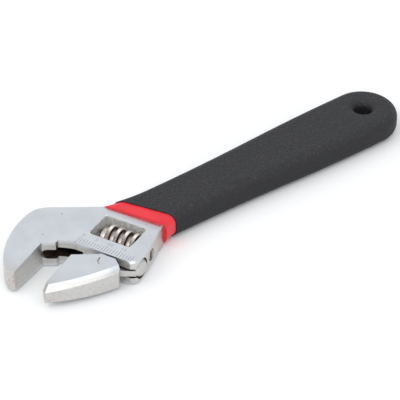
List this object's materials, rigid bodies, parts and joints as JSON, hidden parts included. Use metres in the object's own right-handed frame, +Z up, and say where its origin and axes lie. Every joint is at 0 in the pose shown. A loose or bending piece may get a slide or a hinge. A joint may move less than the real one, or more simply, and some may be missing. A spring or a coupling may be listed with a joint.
{
  "type": "adjustable wrench",
  "caption": "Adjustable wrench with a sliding jaw set by a thumb worm, a millimetre scale on the head and a dipped grip with a hanging hole.",
  "frame": {"origin": "middle of the overall box in the stored pose, on the surface that the wrench lies on", "axes": "+X along the handle from the head to the hanging hole, +Z up out of the flat side; the jaws point towards -X"},
  "size_m": [0.1594, 0.0429, 0.01],
  "materials": {
    "plated_steel": "satin plating over a forged surface",
    "dark_steel": "oiled, machined and knurled",
    "red_dip": "smooth dipped vinyl, semi-gloss",
    "black_dip": "fine-textured dipped vinyl, matte"
  },
  "bodies": {
    "body": {"wrench_body": "plated_steel", "grip_red_dip": "red_dip", "grip_black_dip": "black_dip", "worm_pin": "dark_steel", "worm_spring": "dark_steel"},
    "jaw": {"movable_jaw": "plated_steel"},
    "worm": {"adjusting_worm": "dark_steel"}
  },
  "joints": [
    {"name": "jaw_slide", "type": "slide", "parent": "body", "child": "jaw", "axis": [0.3827, -0.9239, 0], "range_m": [-0.01135, 0.0084]},
    {"name": "worm_turn", "type": "hinge", "parent": "body", "child": "worm", "pos_m": [-0.04131, -0.00432, 0.005], "axis": [0.3827, -0.9239, 0], "range_deg": [-1009, 1369]}
  ],
  "couplings": [
    {"joint": "worm_turn", "follows": "jaw_slide", "rad_per_m": -2094.4}
  ]
}
